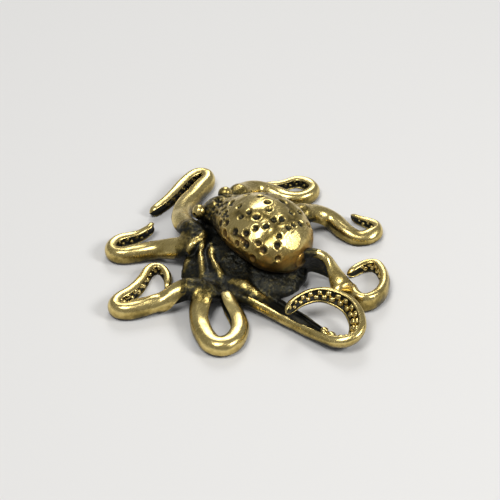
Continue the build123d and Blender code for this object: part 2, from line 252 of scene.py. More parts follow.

# root: where the arm leaves the web; route: its line in hundredths of its reach; lift: root and tip
# settle, rise: where it lands and takes off; roll: turn of the mouth side; twist: where it turns
# full: how late it thins; stout, tip: breadth and depth; flare: how much the root widens
# bulge: where it is broader, over what stretch, how much
# rootDarkness: how dark the root is; studs: the stretch that carries suckers
# gutter: how much deeper the channel is by the root
armPlan = {
    "arm_1": {
        "reach": 21, "root": (-0.255, 0.585),
        "route": [
            (5, 12), (18, 31), (37, 46), (60, 54), (81, 60), (96, 65), (100, 77), (87, 83),
            (70, 81), (50, 76), (30, 73), (12, 73)],
        "lift": (1, 0), "settle": 0.45, "rise": 0.9, "roll": (40, 90), "twist": (0, 0.25),
        "full": 1, "stout": (1, 1.02), "tip": (1.6, 1.75), "flare": 0.15, "rootDarkness": 0.85,
        "studs": (0.3, 0.92)},
    "arm_2": {
        "reach": 15, "root": (-0.44, 0.47),
        "route": [
            (-12, 19), (-21, 37), (-36, 52), (-52, 63), (-65, 75), (-66, 91), (-53, 101),
            (-35, 101), (-18, 93), (-3, 85), (11, 83), (14, 90)],
        "lift": (0.65, 0.45), "settle": 0.35, "rise": 0.84, "roll": (-20, -90),
        "twist": (0, 0.35), "full": 0.95, "stout": (0.98, 1.05), "tip": (1.4, 1.45),
        "flare": 0.2, "rootDarkness": 0.75, "studs": (0.42, 0.92)},
    "arm_3": {
        "reach": 13, "root": (-0.945, -0.005),
        "route": [
            (-8, 8), (-28, 17), (-52, 26), (-73, 37), (-92, 49), (-99, 67), (-84, 79), (-62, 78),
            (-32, 82), (-4, 93), (19, 99), (29, 92), (27, 76), (17, 59), (-2, 48)],
        "lift": (0.53, 0), "settle": 0.25, "rise": 0.9, "roll": (60, -90), "twist": (0.05, 0.26),
        "full": 0.9, "stout": (0.96, 1), "tip": (1.2, 1.3), "flare": 0.2, "rootDarkness": 0.8,
        "studs": (0.42, 0.94)},
    "arm_4": {
        "reach": 13, "root": (-0.93, -0.195),
        "route": [
            (-10, -5), (-28, -19), (-45, -40), (-58, -65), (-60, -88), (-46, -100), (-23, -98),
            (0, -84), (14, -66), (22, -47), (31, -30), (43, -17)],
        "lift": (0.47, 0.45), "settle": 0.25, "rise": 0.76, "roll": (60, 90), "twist": (0, 0.2),
        "full": 2.6, "stout": (0.9, 0.94), "tip": (1.75, 2.7), "flare": 0.05, "rootDarkness": 0.75,
        "studs": (0.3, 0.8)},
    "arm_5": {
        "reach": 24, "root": (-0.51, -0.53),
        "route": [
            (3, -14), (4, -29), (5, -46), (5, -64), (5, -81), (7, -95), (14, -102), (25, -99),
            (34, -89), (39, -76), (37, -63), (31, -52), (20, -46), (6, -44), (-9, -47)],
        "lift": (0.35, 1.4), "settle": 0.3, "rise": 0.42, "roll": (172, 125),
        "twist": (0.22, 0.58), "full": 1.2, "stout": (1.2, 0.74), "tip": (1.3, 1.4), "flare": 0.3,
        "gutter": 0.2, "rootDarkness": 0.85, "studs": (0.34, 0.98)},
    "arm_6": {
        "reach": 16, "root": (0.225, -0.685),
        "route": [
            (9, -11), (12, -28), (9, -47), (1, -64), (-6, -82), (-4, -96), (12, -102), (33, -99),
            (53, -87), (69, -69), (74, -52), (62, -42), (47, -39), (35, -37)],
        "lift": (0.65, 0.06), "settle": 0.35, "rise": 0.8, "roll": (-70, 90),
        "twist": (0.12, 0.38), "full": 1.4, "stout": (1.16, 0.66), "tip": (1.25, 1.35),
        "flare": 0.42, "bulge": (0.13, 0.1, 0.28), "rootDarkness": 0.9, "studs": (0.32, 0.92)},
    "arm_7": {
        "reach": 14, "root": (0.805, -0.09),
        "route": [
            (19, -4), (34, -15), (40, -30), (36, -49), (35, -69), (40, -87), (53, -96), (71, -97),
            (81, -85), (79, -68), (76, -51), (79, -35)],
        "lift": (0.88, 0.12), "settle": 0.42, "rise": 0.75, "roll": (-20, 90), "twist": (0.4, 0.8),
        "full": 1.1, "stout": (1.08, 1.02), "tip": (0.95, 1.1), "flare": 0.15, "rootDarkness": 0.3,
        "studs": (0.42, 0.92)},
    "arm_8": {
        "reach": 17, "root": (0.625, 0.67),
        "route": [
            (14, 2), (34, 1), (44, -10), (49, -25), (55, -42), (68, -51), (86, -53), (98, -43),
            (99, -28), (93, -15), (78, -9), (65, 2), (56, 15)],
        "lift": (0.94, 0), "settle": 0.35, "rise": 0.9, "roll": (20, 90), "twist": (0, 0.35),
        "full": 1, "stout": (0.94, 1), "tip": (1.2, 1.3), "flare": 0.1, "rootDarkness": 0.25,
        "studs": (0.38, 0.92)},
}


class ArmLine:
    # line of an arm on the table, with the slice that it carries at each share of its length
    def __init__(self, plan):
        self.plan = plan
        root = onWeb(*plan["root"])
        route = [root] + [root + np.array(p) / 100 * plan["reach"] for p in plan["route"]]
        self.line = smoothLine(route, armStyle["points"])
        self.length = np.linalg.norm(np.diff(self.line, axis=0), axis=1).sum()
        self.heading = np.gradient(self.line, axis=0)
        self.heading /= np.linalg.norm(self.heading, axis=1, keepdims=True)
        self.shares = np.linspace(0, 1, len(self.line))

    def at(self, t):
        # origin, back, side, along, depth and breadth at the share t
        plan = self.plan
        place = [np.interp(t, self.shares, self.line[:, i]) for i in (0, 1)]
        along = np.array([np.interp(t, self.shares, self.heading[:, i]) for i in (0, 1)] + [0])
        along /= np.linalg.norm(along)
        firstRoll, lastRoll = plan["roll"]
        roll = math.radians(firstRoll + (lastRoll - firstRoll) * float(ease(t, *plan["twist"])))
        right = np.cross(along, (0, 0, 1))
        back = np.array([0, 0, math.cos(roll)]) + right * math.sin(roll)
        side = np.cross(along, back) * (-1 if lastRoll > 0 else 1)
        s = min(max(t, 0), 1)
        (stoutBreadth, stoutDepth), (tipBreadth, tipDepth) = plan["stout"], plan["tip"]
        last = armStyle["tipDepth"] * tipDepth
        depth = last + (armStyle["depth"] * stoutDepth - last) * (1 - s ** plan["full"])
        last = armStyle["tipBreadth"] * tipBreadth
        breadth = last + (armStyle["breadth"] * stoutBreadth - last) * (1 - s ** (plan["full"] + 1))
        breadth *= 1 + plan["flare"] * (1 - float(ease(s, 0, plan["settle"])))
        if "bulge" in plan:
            where, stretch, amount = plan["bulge"]
            breadth *= 1 + amount * math.exp(-((s - where) / stretch) ** 2)
        lowest = (sliceX * depth * back[2] + sliceY * breadth * side[2]).min()
        landed = min(t / plan["settle"], 1)
        risen = min(max((t - plan["rise"]) / (1 - plan["rise"]), 0), 1)
        lift = armStyle["lift"] * (plan["lift"][0] * (1 - landed) ** 2
                                   + plan["lift"][1] * math.sin(risen * math.pi / 2))
        origin = np.array([*place, lift - lowest - armStyle["bite"]])
        return origin, back, side, along, depth, breadth

    def ring(self, t, size=1, push=0, filled=0):
        # filled: how far the channel is closed
        origin, back, side, along, depth, breadth = self.at(t)
        g = gutterStyle
        deeper = self.plan.get("gutter", 0) * (1 - float(ease(t, *g["fade"])))
        lowLip = g["low"] * deeper * ease(-sliceY, *g["lowSide"]) * ease(-sliceX, *g["lowMouth"])
        x = sliceX + deeper * channelDepth + lowLip
        x = np.where(inChannel, x * (1 - filled) + channel["lip"] * filled, x)
        y = sliceY * (1 + g["widen"] * deeper * inChannel)
        points = np.outer(x * depth, back) + np.outer(y * breadth, side)
        return origin + along * push + points * size


armLines = {name: ArmLine(plan) for name, plan in armPlan.items()}


def rootPatina(run, rootDarkness):
    # the dark of the web fades along the first millimetres of an arm
    return armStyle["rootDark"] * rootDarkness * (1 - ease(run, *armStyle["rootFade"]))


def makeArm(name, number):
    arm, style = armLines[name], armStyle
    tipRound = style["tipDepth"] * style["tipRound"]
    lastShare = 1 - tipRound / arm.length
    shares = list(np.linspace(0, lastShare, int(arm.length / style["step"])))
    rings = []
    for t in shares:
        swell = noise.noise(Vector((t * style["swellPace"], number * 3.7, 0)))
        rings.append(arm.ring(t, 1 + style["swell"] * swell))
    for turn in style["tipTurns"]:
        c, s = turned(turn)
        rings.append(arm.ring(lastShare, c, tipRound * s))
        shares.append(1)
    rings = np.array(rings)
    for _ in range(style["calm"]):
        # evens out the folds on the inner side of the bends
        rings[1:-1] = rings[1:-1] * 0.5 + (rings[:-2] + rings[2:]) * 0.25
    mesh = skinMesh(name + "Skin", rings)
    roughen(mesh, style["uneven"], number)
    t = np.array(shares)[:, None]
    patches = [noise.noise(Vector((s * style["patchPace"], number * 5.1, 2))) for s in shares]
    patina = channelDepth[None, :] * style["channelDark"]
    patina = patina + rootPatina(t * arm.length, arm.plan["rootDarkness"])
    patina += style["patchDark"] * np.maximum(patches, 0)[:, None]
    if "gutter" in arm.plan:
        lowLip = ease(-sliceY[None, :], *gutterStyle["darkSide"])
        patina += gutterStyle["dark"] * lowLip * (1 - ease(t, *gutterStyle["darkFade"]))
    setLayer(mesh, "patina", np.append(np.clip(patina, 0, 1), style["endDark"]))
    addPiece(name + "Brass", mesh, name)


for number, armName in enumerate(armPlan):
    makeArm(armName, number)
print("arms made")


# suckers: two staggered rows of beads on the floor of the channel
suckerStyle = {
    "pitch": 2, "radius": 0.66, "height": 1.05, "seat": 0.3,
    "floor": 0.28, "row": 0.1235,     # shares of the arm's depth and breadth
    "stagger": 0.25, "drift": 0.08, "sway": 0.12, "splay": 0.1,
    "radii": (0.9, 1.1), "heights": (0.92, 1.08),
    "stout": {"arm_3": 1.2, "arm_5": 1.15, "arm_6": 1.2},
    # painted shade: a floor of darkness for the beads of arms whose channel lies in shade
    "channelShade": {"arm_1": 0.75, "arm_2": 0.6, "arm_8": 0.7, "arm_4": 0.5}, "shine": (0.15, 0.75),
    "blocky": {"arm_5": 4.0}, "round": 2.1,
    "profile": [(1.04, 0), (1.05, 0.25), (1, 0.5), (0.88, 0.72), (0.66, 0.89), (0.36, 0.98)],
    "sides": 14,
}


def makeSuckers(name):
    arm, plan, style = armLines[name], armPlan[name], suckerStyle
    nodeName = name.replace("arm", "suckers")
    rnd = random.Random(name)
    bm = bmesh.new()
    first, last = plan["studs"]
    count = int(arm.length * (last - first) / style["pitch"])
    power = style["blocky"].get(name, style["round"])
    stout, channelShade = style["stout"].get(name, 1), style["channelShade"].get(name, 0)
    for row in (-1, 1):
        for i in range(count):
            t = first + (last - first) * (i + 0.5 + row * style["stagger"]) / count
            origin, back, side, along, depth, breadth = arm.at(t)
            scale = breadth / armStyle["breadth"]
            radius = style["radius"] * stout * scale * rnd.uniform(*style["radii"])
            height = style["height"] * scale * rnd.uniform(*style["heights"])
            foot = origin + back * (style["seat"] - style["floor"] * depth)
            foot += side * row * style["row"] * breadth
            foot += along * rnd.uniform(-style["drift"], style["drift"])
            lean = along * rnd.uniform(-style["sway"], style["sway"])
            up = lean + side * row * style["splay"] - back
            loops = []
            for spread, level in style["profile"]:
                loop = []
                for k in range(style["sides"]):
                    c, s = turned(360 * k / style["sides"])
                    r = radius * spread / (abs(c) ** power + abs(s) ** power) ** (1 / power)
                    loop.append(bm.verts.new((foot + along * (r * c) + side * (r * s)
                                              + up * (height * level)) * mm))
                loops.append(loop)
            top = bm.verts.new((foot + up * height) * mm)
            under = bm.verts.new(foot * mm)
            for k in range(style["sides"]):
                n = (k + 1) % style["sides"]
                for lower, upper in zip(loops, loops[1:]):
                    bm.faces.new((lower[k], lower[n], upper[n], upper[k]))
                bm.faces.new((loops[-1][k], loops[-1][n], top))
                bm.faces.new((loops[0][n], loops[0][k], under))
    bmesh.ops.recalc_face_normals(bm, faces=bm.faces)
    for v in bm.verts:
        v.co.z = max(v.co.z, 0)
    mesh = meshFrom(bm, nodeName + "Beads")
    # the tops are rubbed bright, the feet stay dark, and on some arms a floor of painted shade
    # darkens the whole bead where its channel lies in shade
    levels = np.repeat([level for spread, level in style["profile"]], style["sides"])
    levels = np.tile(np.append(levels, [1, 0]), 2 * count)
    setLayer(mesh, "patina", np.maximum(1 - ease(levels, *style["shine"]), channelShade))
    addPiece(nodeName + "Beads", mesh, nodeName)


for armName in armPlan:
    makeSuckers(armName)
print("suckers made")


# mantle and head: one row of rings, parted at the neck
bodyStyle = {
    "neckX": 2.7, "neckY": 9, "length": 23, "width": 18.4, "height": 12.3, "belly": 3.8,
    "drift": 1.4,                     # how far the rear end lies to one side
    "headLength": 5.4, "headWidth": 9.4, "headHeight": 7.4, "seat": 4.2,
    "around": 168, "rings": 200, "frontCap": 0.7, "rearCap": 0.5, "capTurns": (15, 30, 45, 60, 74),
    "plug": (0.9, 0.5), "degree": 0.14,        # rings that close a cut; a degree on the skin
    "uneven": [(4, 0.16), (1.6, 0.05), (0.7, 0.02)],
    # lowDark is painted shade low on the flanks; warmFade and warmAlong place a warm painted
    # reflection of the table there
    "neckDark": 0.3, "neckFade": (0.02, 0.34), "lowDark": 0.36, "lowFade": (62, 104),
    "warmFade": (60, 92), "warmAlong": (0, 0.6), "endDark": [0.5, 0.3],
}
# along, half width, underside, top, in shares
mantleRings = [
    (0, 0.275, 0.08, 0.6), (0.11, 0.33, 0.08, 0.72), (0.24, 0.41, 0.06, 0.86),
    (0.39, 0.475, 0.03, 0.97), (0.54, 0.5, 0, 1), (0.7, 0.48, -0.03, 0.94),
    (0.85, 0.4, -0.02, 0.81), (0.95, 0.27, 0.03, 0.63), (1, 0.1, 0.15, 0.42)]
headRings = [(0.3, 0.52, 0, 0.86), (0.58, 0.48, 0, 0.76), (0.85, 0.36, 0.02, 0.62),
             (1, 0.17, 0.12, 0.42)]
# dimples: hundredths of the mantle's length, angle round it from the right over the top
pitSpots = [
    (17, 116), (20, 150), (23, 168), (24, 72), (32, 122), (32, 158), (35, 173), (39, 72),
    (43, 138), (47, 123), (47, 161), (52, 81), (54, 173), (57, 124), (58, 49), (59, 154), (60, 92),
    (64, 142), (64, 168), (70, 105), (70, 129), (73, 52), (73, 160), (74, 85), (73, 184),
    (80, 168), (84, 92), (84, 130), (85, 40), (88, 154), (92, 181), (22, 46), (34, 44), (36, 18),
    (47, 30), (50, 4), (62, 22), (64, -2), (74, 30), (78, 8), (86, 16), (84, 66)]
pitStyle = {"radius": 0.94, "sizes": (0.84, 1.08), "stretch": (0.9, 1.1), "floor": 0.3,
            "depth": 0.52, "depths": (0.85, 1.1), "brim": 0.08, "brimAt": 1.2, "brimWidth": 0.22,
            "dark": 0.92, "darkFade": (0.52, 1.02)}
# shallow valleys between the plateaus
valleys = [[(0.36, 134), (0.51, 128), (0.59, 116), (0.69, 108), (0.76, 96), (0.8, 84), (0.78, 66)],
           [(0.76, 96), (0.77, 115), (0.79, 129), (0.79, 150), (0.76, 171)],
           [(0.3, 40), (0.48, 52), (0.62, 46), (0.8, 50)]]
valleyStyle = {"points": 40, "width": 1.15, "depth": 0.3, "dark": 0.42}
# the worn spot at the rear end
facet = {"at": (0.93, 108), "flat": 0.2, "radius": 2.6, "reach": 1.3, "level": 0.9, "calm": 0.2}
# elongated slits that run from the neck along both flanks
slitStyle = {"count": 130, "turn": (34, 110), "top": 70, "alongTop": (-0.16, 0.3),
             "along": (-0.12, 0.62), "length": (0.9, 1.7), "width": (0.22, 0.34), "depth": 0.26,
             "dark": 0.9, "darkFade": (0.15, 0.7)}

neck = crown + (bodyStyle["neckX"], bodyStyle["neckY"])


def bodyRow(along, halfWidth, low, high, head=False):
    # y, x, half width, underside and top of a ring
    s = bodyStyle
    if head:
        return (neck[1] + s["headLength"] * along, neck[0], halfWidth * s["headWidth"],
                s["seat"] + s["headHeight"] * low, s["seat"] + s["headHeight"] * high)
    return (neck[1] - s["length"] * along, neck[0] - s["drift"] * along, halfWidth * s["width"],
            s["belly"] + s["height"] * low, s["belly"] + s["height"] * high)


def bodyCap(edge, inner, bulge):
    # closes an end in a round cap
    middle = edge.mean(0)
    forward = np.array([0, np.sign(edge[0, 1] - inner[0, 1]), 0])
    return [middle + (edge - middle) * c + forward * bulge * s
            for c, s in map(turned, bodyStyle["capTurns"])]


def bodyRings():
    rows = [bodyRow(*r, head=True) for r in reversed(headRings)]
    rows += [bodyRow(*r) for r in mantleRings]
    c, s = circle(bodyStyle["around"])
    rings = []
    for y, x, half, low, high in smoothLine(rows, bodyStyle["rings"]):
        rings.append(np.column_stack([x + half * c, np.full(len(c), y),
                                      (low + high) / 2 + (high - low) / 2 * s]))
    front = bodyCap(rings[0], rings[1], bodyStyle["frontCap"])
    rear = bodyCap(rings[-1], rings[-2], bodyStyle["rearCap"])
    return np.array(front[::-1] + rings + rear)


def partBody(name, grid, dark, tint, cut):
    # one stretch of the body; the cut end, first or last, is closed by rings that draw in
    middle = grid[cut].mean(0)
    plug = [middle + (grid[cut] - middle) * size for size in bodyStyle["plug"]]
    grid = np.concatenate([grid, plug] if cut else [plug[::-1], grid])
    more = (0, len(plug)) if cut else (len(plug), 0)
    dark, tint = (np.pad(values, (more, (0, 0)), "edge") for values in (dark, tint))
    mesh = skinMesh(name + "Skin", grid)
    setLayer(mesh, "patina", np.append(dark, bodyStyle["endDark"]))
    setLayer(mesh, "warm", np.append(tint, [0, 0]))
    addPiece(name + "Brass", mesh, name)


def makeBody():
    rings = bodyRings()
    skin = skinMesh("bodySkin", rings)
    co, n = places(skin), normals(skin)
    bpy.data.meshes.remove(skin)
    # where each point lies: share of the mantle's length, degrees round it
    share = (neck[1] - co[:, 1]) / bodyStyle["length"]
    coreX = neck[0] - bodyStyle["drift"] * share
    coreZ = bodyStyle["belly"] + bodyStyle["height"] / 2
    degrees = np.degrees(np.arctan2(co[:, 2] - coreZ, co[:, 0] - coreX)) % 360
    degrees = np.where(degrees > 300, degrees - 360, degrees)
    fromTop = np.abs(degrees - 90)

    def spotAt(along, angle):
        # the nearest point of the skin
        gap = np.abs(share - along) * bodyStyle["length"]
        return co[(gap + np.abs(degrees - angle) * bodyStyle["degree"]).argmin()]

    height, patina = np.zeros(len(co)), np.zeros(len(co))
    rnd = random.Random(5)
    for size, amount in bodyStyle["uneven"]:
        height += amount * noiseAt(co, size, 11 + size)
    for line in valleys:
        track = smoothLine([spotAt(*spot) for spot in line], valleyStyle["points"])
        gap = np.min(np.linalg.norm(co[:, None, :] - track[None, :, :], axis=2), axis=1)
        dip = np.exp(-(gap / valleyStyle["width"]) ** 2)
        height -= valleyStyle["depth"] * dip
        patina = np.maximum(patina, valleyStyle["dark"] * dip)
    middle = spotAt(*facet["at"])
    gap = np.linalg.norm(co - middle, axis=1)
    over = (co - middle) @ n[gap.argmin()] + facet["flat"]
    height = np.where((gap < facet["radius"] * facet["reach"]) & (over > 0),
                      height * facet["calm"] - over * facet["level"], height)
    s = pitStyle
    for hundredths, angle in pitSpots:
        size = s["radius"] * rnd.uniform(*s["sizes"])
        stretch = np.array([1, rnd.uniform(*s["stretch"]), rnd.uniform(*s["stretch"])])
        gap = np.linalg.norm((co - spotAt(hundredths / 100, angle)) * stretch, axis=1) / size
        height -= s["depth"] * (1 - ease(gap, s["floor"], 1)) * rnd.uniform(*s["depths"])
        height += s["brim"] * np.exp(-((gap - s["brimAt"]) / s["brimWidth"]) ** 2)
        patina = np.maximum(patina, s["dark"] - ease(gap, *s["darkFade"]))
    s = slitStyle
    for i in range(s["count"]):
        flank = 1 if i % 3 == 0 else -1
        angle = 90 - flank * rnd.uniform(*s["turn"])
        along = rnd.uniform(*(s["alongTop"] if abs(angle - 90) < s["top"] else s["along"]))
        offset = co - spotAt(along, angle)
        gap = np.sqrt((offset[:, 1] / rnd.uniform(*s["length"])) ** 2
                      + (offset[:, 0] ** 2 + offset[:, 2] ** 2) / rnd.uniform(*s["width"]) ** 2)
        inside = np.exp(-gap ** 2)
        height -= s["depth"] * inside
        patina = np.maximum(patina, s["dark"] * ease(inside, *s["darkFade"]))
    # darker by the neck, and painted shade low on the flanks, where a warm painted reflection of
    # the table lies too
    shade = (1 - ease(share, *bodyStyle["neckFade"])) * bodyStyle["neckDark"]
    shade += ease(fromTop, *bodyStyle["lowFade"]) * bodyStyle["lowDark"]
    patina = np.clip(np.maximum(patina, shade), 0, 1)
    warm = ease(fromTop, *bodyStyle["warmFade"]) * ease(share, *bodyStyle["warmAlong"])

    # without the middle points of the two ends, ring by ring
    grid = (co + n * height[:, None])[:-2].reshape(rings.shape)
    dark, tint = (values[:-2].reshape(rings.shape[:2]) for values in (patina, warm))
    k = int(np.argmin(np.abs(rings[:, 0, 1] - neck[1])))
    partBody("head", grid[:k + 1], dark[:k + 1], tint[:k + 1], -1)
    partBody("mantle", grid[k:], dark[k:], tint[k:], 0)


makeBody()
print("mantle and head made")


# eyes: beads with a drilled pupil
eyeStyle = {"radius": 1.6, "tall": 1.06, "along": 3.75, "skew": 0.3, "spread": 8.6,
            "pupil": 0.44, "pupilEdge": (0.7, 1.25), "pupilDepth": 0.6,
            "rings": 40, "around": 48, "turns": (2, 165), "uneven": [(1.4, 0.05)],
            "innerDark": 0.35, "innerFade": (74, 110)}


def makeEye(name, side):
    s = eyeStyle
    low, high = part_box(name)
    centre = np.array([neck[0] + side * s["spread"] / 2,
                       neck[1] + s["along"] + side * s["skew"] / 2, (low.z + high.z) / 2 / mm])
    across, upward = circle(s["around"])
    edge = [s["pupil"] * share for share in s["pupilEdge"]]
    rings, shade = [], []
    for turn in np.linspace(*s["turns"], s["rings"]):
        ahead, radius = (s["radius"] * share for share in turned(turn))
        hole = float(1 - ease(radius, *edge)) * (turn < 90)
        ahead -= s["pupilDepth"] * hole
        rings.append(centre + np.column_stack([np.full(len(across), side * ahead), radius * across,
                                               radius * s["tall"] * upward]))
        inner = s["innerDark"] * float(ease(turn, *s["innerFade"]))
        shade.append(np.full(len(across), max(hole, inner)))
    mesh = skinMesh(name + "Bead", rings)
    roughen(mesh, s["uneven"], side * 3)
    setLayer(mesh, "patina", np.append(shade, [1, 1]))
    addPiece(name + "Bead", mesh, name)


makeEye("eye_left", -1)
makeEye("eye_right", 1)
print("eyes made")


# web: skirt, shoulders and folds run into one skin
webStyle = {
    "rim": 1.6, "rise": 4.2, "inset": 0.6, "foot": 0.4,
    "levels": [(0, 1), (0.3, 0.985), (0.6, 0.9), (0.85, 0.74), (1, 0.56), (1.22, 0.42),
               (1.4, 0.26)],
    "bays": [(0.14, 0.5), (-0.2, 0.55), (0.12, 0.5), (0.3, 0.45), (-0.33, 0.38), (0.17, 0.5),
             (0.12, 0.5), (0.04, 0.5)],      # how far the rim draws in, and where
    "baySteps": 6, "rounding": 3, "rings": 16, "seed": 21,
    "hollow": 1.3, "hollowFade": (0.62, 0.84),
    "under": 1.9, "facingDown": (0.3, 0.8),    # where a point counts as underside
    "grain": 0.28, "soften": 40, "lowest": 0.02,
    "uneven": [(2.2, 0.16), (0.9, 0.12), (0.5, 0.07)], "dark": 0.86,
}
collarStyle = {
    "size": (17, 13), "back": 1.6, "around": 48,
    "levels": [(0, 1, 1), (0.2, 0.98, 0.98), (0.35, 0.94, 0.96), (0.52, 0.86, 0.91),
               (0.7, 0.76, 0.84), (0.98, 0.64, 0.75), (1.25, 0.56, 0.68)],
}
# shoulder: the arm's slice drawn inwards, and a sleeve over the arm's first stretch
shoulderStyle = {
    "length": 8, "sink": 1, "filled": 0.4, "fill": 2, "rings": 8,
    "sizes": ([0, 0.35, 0.7, 1], [1.09, 1.07, 0.9, 0.3]),
    "sleeve": (0.5, 5), "sleeveRings": 6, "sleeveSizes": ([0, 2, 5], [1.09, 1.05, 0.9]),
    "far": -9, "near": (-5, 7), "wide": 0.75, "shine": (-4.5, 0.5), "shineAside": (0.5, 0.75),
    "gutterShine": (0.6, 1.8), "calm": (-3, 1.5),
}
# crest lines: x, y in shares of the web's span, height and width
folds = [
    [(-0.27, 0.37, 0.5, 0.9), (-0.352, 0.36, 0.8, 0.7), (-0.489, 0.38, 0.8, 0.65),
     (-0.615, 0.306, 0.7, 0.6), (-0.72, 0.24, 0.4, 0.5)],
    [(-0.34, 0.33, 0.4, 0.7), (-0.433, 0.27, 0.85, 0.6), (-0.563, 0.149, 0.85, 0.6),
     (-0.661, 0.044, 0.7, 0.6), (-0.74, -0.02, 0.3, 0.5)],
    [(-0.32, 0.24, 0.4, 0.7), (-0.402, 0.154, 0.85, 0.65), (-0.505, 0.03, 0.9, 0.6),
     (-0.551, -0.056, 0.85, 0.6), (-0.6, -0.16, 0.5, 0.6)],
    [(-0.57, -0.3, 0.5, 1), (-0.52, -0.43, 0.9, 1.1), (-0.47, -0.56, 0.9, 1.1),
     (-0.445, -0.66, 0.4, 0.9)],
]
foldStyle = {"wide": 1.35, "upright": (0, 0.3), "bright": 0.62, "brightFade": (0.35, 0.95),
             "full": 0.8, "points": 60}
# filled places: x, y in shares of the web's span, middle height, then the three radii
masses = [(0.045, 0.62, 1.4, 3.7, 3.2, 4.6), (-0.12, 0.6, 1.2, 3.4, 3.2, 4.2),
          (-0.18, 0.4, 2, 4.4, 4, 4.4), (-0.6, -0.28, 1.2, 2.6, 2.8, 2.6),
          (-0.3, -0.46, 0.8, 4.6, 3.6, 2.6)]


massStyle = {"turns": (-80, 81, 16), "low": 0.1, "apart": 0.05}


def webRim():
    feet = []
    for arm in armLines.values():
        origin, along = arm.at(0)[0], arm.at(0)[3]
        across = np.cross((0, 0, 1), along) * armStyle["breadth"] * webStyle["foot"]
        middle = origin - along * webStyle["inset"]
        feet.append([(middle + s * across)[:2] for s in (-1, 1)])
    outline = []
    for i, (right, left) in enumerate(feet):
        following = feet[(i + 1) % len(feet)][0]
        chord = following - left
        inwards, where = webStyle["bays"][i]
        pull = left + chord * where + np.array([-chord[1], chord[0]]) * 2 * inwards
        outline.append(right)
        for u in np.arange(webStyle["baySteps"]) / webStyle["baySteps"]:
            outline.append(left * (1 - u) ** 2 + pull * 2 * u * (1 - u) + following * u ** 2)
    return closedCurve(outline, webStyle["rounding"])


def webLevel(up):
    return webStyle["rim"] + up * webStyle["rise"]


def skirtRings(rim):
    for up, spread in smoothLine(webStyle["levels"], webStyle["rings"]):
        yield levelRing(*(crown + (rim - crown) * spread).T, webLevel(up))


def collarRings():
    # the slope up to the head
    c, s = circle(collarStyle["around"])
    broad, deep = collarStyle["size"]
    for up, wide, long in collarStyle["levels"]:
        yield levelRing(neck[0] + broad / 2 * wide * c,
                        neck[1] - collarStyle["back"] + deep / 2 * long * s, webLevel(up))


def shoulderRings(arm):
    s = shoulderStyle
    sink = webStyle["rim"] + s["sink"] - arm.at(0)[0][2]
    for inwards in np.linspace(1, 0, s["rings"]):
        size = np.interp(inwards, *s["sizes"])
        filled = min(1, s["filled"] + inwards * s["fill"])
        ring = arm.ring(0, size, -s["length"] * inwards, filled)
        yield ring + np.array([0, 0, sink * inwards ** 2])
    for run in np.linspace(*s["sleeve"], s["sleeveRings"]):
        middle = arm.at(run / arm.length)[0]
        yield middle + (arm.ring(run / arm.length) - middle) * np.interp(run, *s["sleeveSizes"])


def massRings(x, y, middle, wide, long, tall):
    c, s = circle(collarStyle["around"])
    centre = onWeb(x, y)
    for turn in range(*massStyle["turns"]):
        out, level = turned(turn)
        # the lowest rings lie flat and close together, just above the table
        yield levelRing(centre[0] + wide * out * c, centre[1] + long * out * s,
                        max(middle + tall * level, massStyle["low"] + massStyle["apart"] * level))


def fuseWeb(rim):
    bm = bmesh.new()
    shapes = [skirtRings(rim), collarRings()]
    shapes += [shoulderRings(arm) for arm in armLines.values()]
    shapes += [massRings(*mass) for mass in masses]
    for rings in shapes:
        mesh = skinMesh("webPart", list(rings))
        bm.from_mesh(mesh)
        bpy.data.meshes.remove(mesh)
    web = addPiece("webBrass", meshFrom(bm, "webSkin"), "web")
    remesh = web.modifiers.new("fuse", "REMESH")
    remesh.mode = "VOXEL"
    remesh.voxel_size = webStyle["grain"] * mm
    soften = web.modifiers.new("soften", "SMOOTH")
    soften.factor = 0.5
    soften.iterations = webStyle["soften"]
    bpy.context.view_layer.update()
    graph = bpy.context.evaluated_depsgraph_get()
    fused = bpy.data.meshes.new_from_object(web.evaluated_get(graph))
    web.modifiers.clear()
    web.data = fused
    fused.shade_smooth()
    return fused


def webHollow(co, flat, rim):
    # the flat underside is pushed up inside the rim
    offset, rimOffset = co[:, :2] - crown, rim - crown
    rimBearing = np.arctan2(rimOffset[:, 1], rimOffset[:, 0])
    order = np.argsort(rimBearing)
    edge = np.interp(np.arctan2(offset[:, 1], offset[:, 0]), rimBearing[order],
                     np.linalg.norm(rimOffset, axis=1)[order])
    reach = np.linalg.norm(offset, axis=1) / edge
    return webStyle["hollow"] * flat * (1 - ease(reach, *webStyle["hollowFade"]))


def webShoulders(co):
    # patina of the web and its shoulders, and how much each point belongs to an arm
    s, plain = shoulderStyle, webStyle["dark"]
    run, dark = np.full(len(co), float(s["far"])), np.full(len(co), plain)
    for arm in armLines.values():
        origin, back, side, along, depth, breadth = arm.at(0)
        ahead = (co - origin) @ along
        aside = np.linalg.norm(co - origin - np.outer(ahead, along), axis=1) / breadth
        first, last = s["near"]
        close = (ahead > first) & (ahead < last) & (aside < s["wide"]) & (ahead > run)
        run = np.where(close, ahead, run)
        joined = ease(ahead, *s["shine"]) * (1 - ease(aside, *s["shineAside"]))
        if "gutter" in arm.plan:
            joined *= ease((co - origin) @ side, *s["gutterShine"])
        shade = plain + joined * (rootPatina(ahead, arm.plan["rootDarkness"]) - plain)
        dark = np.where(close, shade, dark)
    return dark, ease(run, *s["calm"])


